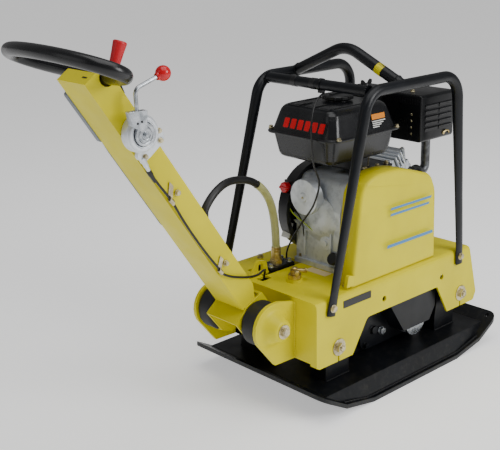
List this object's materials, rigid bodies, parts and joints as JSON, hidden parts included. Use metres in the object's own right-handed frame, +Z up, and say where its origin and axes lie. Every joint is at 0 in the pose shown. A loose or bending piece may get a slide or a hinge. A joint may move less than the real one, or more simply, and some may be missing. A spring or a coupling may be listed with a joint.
{
  "type": "plate compactor",
  "caption": "Reversible plate compactor: sprung deck with caged petrol engine, belt-driven exciter on a turned-up sole, pivoting handle with loop grip, throttle and travel lever.",
  "frame": {"origin": "centre of the flat sole, on the ground", "axes": "+X forward, away from the operator's handle, +Y to the machine's left, +Z up"},
  "size_m": [1.3523, 0.5, 0.9882],
  "materials": {
    "yellow_paint": "gloss",
    "black_paint": "satin",
    "black_plastic": "satin",
    "rubber": "satin",
    "cast_aluminium": "as cast",
    "zinc": "zinc plated",
    "steel": "machined",
    "red_plastic": "gloss",
    "grey_paint": "satin"
  },
  "bodies": {
    "lower_mass": {"base_plate": "black_paint", "base_deck": "black_paint", "exciter_housing": "black_paint", "exciter_cover_right": "black_paint", "exciter_cover_left": "black_paint", "isolator_rear_right": "rubber", "isolator_rear_left": "rubber", "isolator_front_right": "rubber", "isolator_front_left": "rubber"},
    "eccentric_front": {"eccentric_shaft_front": "steel", "driven_pulley": "steel"},
    "eccentric_rear": {"eccentric_shaft_rear": "steel"},
    "upper_frame": {"deck_frame": "yellow_paint", "belt_cover": "yellow_paint", "pulley_guard": "black_paint", "drive_belt": "rubber", "mount_bolt_rear_right": "zinc", "mount_bolt_rear_left": "zinc", "mount_bolt_front_right": "zinc", "mount_bolt_front_left": "zinc", "cage_hoop_right": "black_paint", "cage_hoop_left": "black_paint", "cage_crossbar": "black_paint", "lifting_bail": "black_paint", "pivot_bolt_right": "zinc", "pivot_bolt_left": "zinc", "crankcase": "cast_aluminium", "crankcase_cover": "cast_aluminium", "cylinder_head": "cast_aluminium", "round_cover": "cast_aluminium", "fan_shroud": "black_plastic", "fuel_tank": "black_plastic", "muffler": "black_paint", "exhaust_pipe": "steel", "air_cleaner": "black_plastic", "carburettor": "cast_aluminium", "hose_fitting": "zinc", "hydraulic_hose": "rubber", "engine_cable": "rubber", "throttle_cable": "rubber"},
    "crank": {"clutch_pulley": "steel"},
    "filler_cap": {"fuel_cap": "black_plastic"},
    "cleaner_wing": {"air_cleaner_knob": "black_plastic"},
    "stop_switch": {"engine_switch": "red_plastic"},
    "starter_grip": {"recoil_grip": "black_plastic"},
    "tap": {"drain_tap": "zinc"},
    "handle": {"handle_tube": "yellow_paint", "handle_buffer_right": "rubber", "handle_buffer_left": "rubber", "grip_loop": "rubber", "loop_bracket": "black_paint", "throttle_housing": "cast_aluminium", "travel_pump": "steel", "pump_cover": "grey_paint", "cable_clip_upper": "zinc", "cable_clip_lower": "zinc"},
    "throttle": {"throttle_lever": "zinc", "throttle_ball": "red_plastic"},
    "travel": {"travel_lever": "zinc", "travel_grip": "red_plastic"}
  },
  "joints": [
    {"name": "deck_bounce", "type": "slide", "parent": "lower_mass", "child": "upper_frame", "axis": [0, 0, 1], "range_m": [-0.004, 0.004], "stiffness_N_per_m": 240000, "springref_m": 0.0044, "deforming": ["isolator_rear_right", "isolator_rear_left", "isolator_front_right", "isolator_front_left", "drive_belt"]},
    {"name": "exciter_spin", "type": "hinge", "parent": "lower_mass", "child": "eccentric_front", "pos_m": [0.095, 0, 0.12], "axis": [0, 1, 0], "continuous": true},
    {"name": "exciter_rear_spin", "type": "hinge", "parent": "lower_mass", "child": "eccentric_rear", "pos_m": [-0.035, 0, 0.12], "axis": [0, 1, 0], "continuous": true},
    {"name": "crank_spin", "type": "hinge", "parent": "upper_frame", "child": "crank", "pos_m": [-0.042, -0.15, 0.43], "axis": [0, 1, 0], "continuous": true},
    {"name": "handle_pivot", "type": "hinge", "parent": "upper_frame", "child": "handle", "pos_m": [-0.418, 0, 0.243], "axis": [0, 1, 0], "range_deg": [0, 33], "deforming": ["hydraulic_hose", "throttle_cable"]},
    {"name": "throttle_turn", "type": "hinge", "parent": "handle", "child": "throttle", "pos_m": [-0.7542, -0.07, 0.7827], "axis": [0, 1, 0], "range_deg": [-25, 40]},
    {"name": "travel_swing", "type": "hinge", "parent": "handle", "child": "travel", "pos_m": [-0.7922, 0, 0.8318], "axis": [0, 1, 0], "range_deg": [-7, 7], "stiffness_Nm_per_rad": 12},
    {"name": "filler_cap_turn", "type": "hinge", "parent": "upper_frame", "child": "filler_cap", "pos_m": [-0.048, 0.008, 0.752], "axis": [0, 0, 1], "range_deg": [0, 90]},
    {"name": "cleaner_wing_turn", "type": "hinge", "parent": "upper_frame", "child": "cleaner_wing", "pos_m": [0.115, 0.048, 0.756], "axis": [0, 0, 1], "continuous": true},
    {"name": "stop_switch_turn", "type": "hinge", "parent": "upper_frame", "child": "stop_switch", "pos_m": [-0.152, 0.093, 0.515], "axis": [1, 0, 0], "range_deg": [0, 60]},
    {"name": "starter_pull", "type": "slide", "parent": "upper_frame", "child": "starter_grip", "axis": [0, 1, 0], "range_m": [0, 0.6], "stiffness_N_per_m": 40, "springref_m": -0.3},
    {"name": "tap_turn", "type": "hinge", "parent": "upper_frame", "child": "tap", "pos_m": [-0.262, -0.038, 0.312], "axis": [0, 0, 1], "range_deg": [0, 90]}
  ],
  "couplings": [
    {"joint": "exciter_rear_spin", "follows": "exciter_spin", "ratio": -1},
    {"joint": "crank_spin", "follows": "exciter_spin", "ratio": 0.73}
  ]
}
